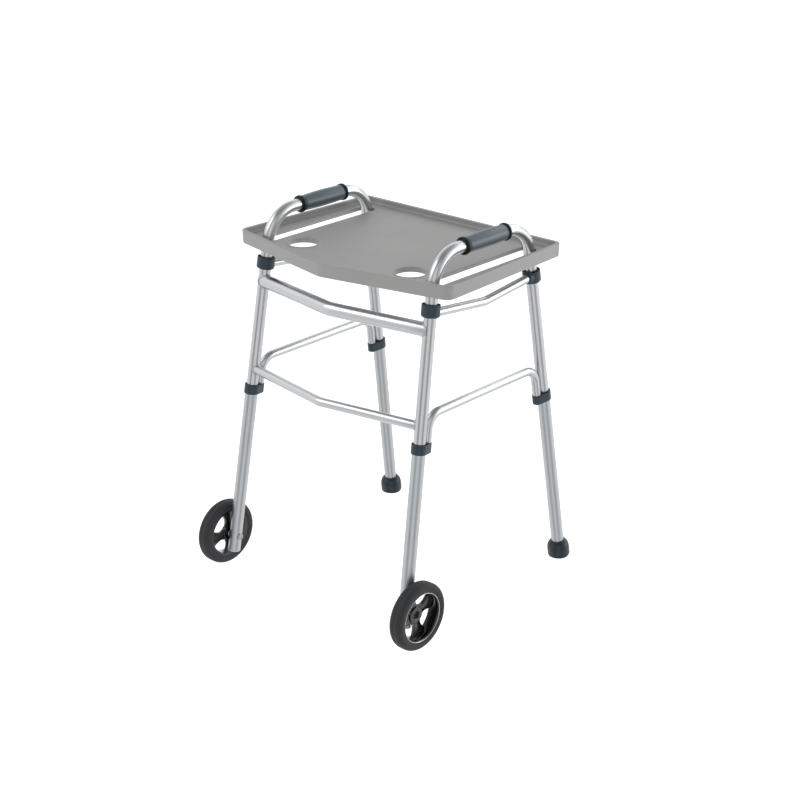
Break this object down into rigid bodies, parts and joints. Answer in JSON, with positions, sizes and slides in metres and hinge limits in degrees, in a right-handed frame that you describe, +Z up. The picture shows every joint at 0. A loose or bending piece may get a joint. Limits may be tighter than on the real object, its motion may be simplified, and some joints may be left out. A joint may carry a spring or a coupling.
{
  "type": "walking frame with front wheels and tray",
  "caption": "Rigid aluminium walking frame with front wheels, rubber rear tips, height-adjustable legs, hand grips and a lift-off tray with cup holes.",
  "frame": {"origin": "on the floor, midway between the outermost front and rear points and between the two sides", "axes": "+Z up, +X across the frame to its right as seen from the front, -Y towards the wheels, +Y towards the user"},
  "size_m": [0.6192, 0.6365, 0.8385],
  "materials": {
    "leg_tube": "satin",
    "lower_leg_tube": "brushed",
    "collar_plastic": "matte",
    "grip_vinyl": "semi-gloss",
    "tray_plastic": "matte",
    "tyre_rubber": "matte",
    "rim_plastic": "gloss",
    "rim_ring_bright": "polished",
    "tip_rubber": "matte",
    "zinc_steel": "zinc plated",
    "plug_plastic": "matte",
    "bush_nylon": "matte"
  },
  "bodies": {
    "frame": {"right_side_tube": "leg_tube", "left_side_tube": "leg_tube", "upper_crossbar": "leg_tube", "lower_crossbar": "leg_tube", "right_side_rail": "leg_tube", "left_side_rail": "leg_tube", "right_side_brace": "leg_tube", "left_side_brace": "leg_tube", "upper_collar_fr": "collar_plastic", "upper_collar_fl": "collar_plastic", "upper_collar_rr": "collar_plastic", "upper_collar_rl": "collar_plastic", "lower_collar_fr": "collar_plastic", "lower_collar_fl": "collar_plastic", "lower_collar_rr": "collar_plastic", "lower_collar_rl": "collar_plastic", "right_grip": "grip_vinyl", "left_grip": "grip_vinyl", "snap_spring_fr": "zinc_steel", "snap_spring_fl": "zinc_steel", "snap_spring_rr": "zinc_steel", "snap_spring_rl": "zinc_steel"},
    "front_leg_right": {"lower_leg_fr": "lower_leg_tube", "end_plug_right": "plug_plastic", "axle_spacer_right": "zinc_steel", "axle_bolt_right": "zinc_steel", "axle_nut_right": "zinc_steel"},
    "front_leg_left": {"lower_leg_fl": "lower_leg_tube", "end_plug_left": "plug_plastic", "axle_spacer_left": "zinc_steel", "axle_bolt_left": "zinc_steel", "axle_nut_left": "zinc_steel"},
    "rear_leg_right": {"lower_leg_rr": "lower_leg_tube", "rubber_tip_right": "tip_rubber", "tip_washer_right": "zinc_steel"},
    "rear_leg_left": {"lower_leg_rl": "lower_leg_tube", "rubber_tip_left": "tip_rubber", "tip_washer_left": "zinc_steel"},
    "wheel_right": {"tyre_right": "tyre_rubber", "wheel_rim_right": "rim_plastic", "rim_ring_right": "rim_ring_bright", "wheel_bush_right": "bush_nylon"},
    "wheel_left": {"tyre_left": "tyre_rubber", "wheel_rim_left": "rim_plastic", "rim_ring_left": "rim_ring_bright", "wheel_bush_left": "bush_nylon"},
    "button_fr": {"snap_button_fr": "zinc_steel"},
    "button_fl": {"snap_button_fl": "zinc_steel"},
    "button_rr": {"snap_button_rr": "zinc_steel"},
    "button_rl": {"snap_button_rl": "zinc_steel"},
    "tray_body": {"tray_panel": "tray_plastic", "tray_rim": "tray_plastic"}
  },
  "joints": [
    {"name": "leg_height_fr", "type": "slide", "parent": "frame", "child": "front_leg_right", "axis": [0.0356, -0.1564, -0.987], "range_m": [0, 0.1778], "deforming": ["snap_button_fr"]},
    {"name": "leg_height_fl", "type": "slide", "parent": "frame", "child": "front_leg_left", "axis": [-0.0356, -0.1564, -0.987], "range_m": [0, 0.1778], "deforming": ["snap_button_fl"]},
    {"name": "leg_height_rr", "type": "slide", "parent": "frame", "child": "rear_leg_right", "axis": [0.0357, 0.1487, -0.9882], "range_m": [0, 0.1778], "deforming": ["snap_button_rr"]},
    {"name": "leg_height_rl", "type": "slide", "parent": "frame", "child": "rear_leg_left", "axis": [-0.0357, 0.1487, -0.9882], "range_m": [0, 0.1778], "deforming": ["snap_button_rl"]},
    {"name": "press_button_fr", "type": "slide", "parent": "frame", "child": "button_fr", "axis": [-0.0056, -0.9877, 0.1563], "range_m": [0, 0.0045], "stiffness_N_per_m": 1500, "deforming": ["snap_spring_fr"]},
    {"name": "press_button_fl", "type": "slide", "parent": "frame", "child": "button_fl", "axis": [0.0056, -0.9877, 0.1563], "range_m": [0, 0.0045], "stiffness_N_per_m": 1500, "deforming": ["snap_spring_fl"]},
    {"name": "press_button_rr", "type": "slide", "parent": "frame", "child": "button_rr", "axis": [0.0054, -0.9889, -0.1486], "range_m": [0, 0.0045], "stiffness_N_per_m": 1500, "deforming": ["snap_spring_rr"]},
    {"name": "press_button_rl", "type": "slide", "parent": "frame", "child": "button_rl", "axis": [-0.0054, -0.9889, -0.1486], "range_m": [0, 0.0045], "stiffness_N_per_m": 1500, "deforming": ["snap_spring_rl"]},
    {"name": "wheel_spin_right", "type": "hinge", "parent": "front_leg_right", "child": "wheel_right", "pos_m": [0.29309, -0.24311, 0.075], "axis": [1, 0, 0], "continuous": true},
    {"name": "wheel_spin_left", "type": "hinge", "parent": "front_leg_left", "child": "wheel_left", "pos_m": [-0.29309, -0.24311, 0.075], "axis": [1, 0, 0], "continuous": true},
    {"name": "tray_lift", "type": "slide", "parent": "frame", "child": "tray_body", "axis": [0, 0, 1], "range_m": [0, 0.12]}
  ]
}
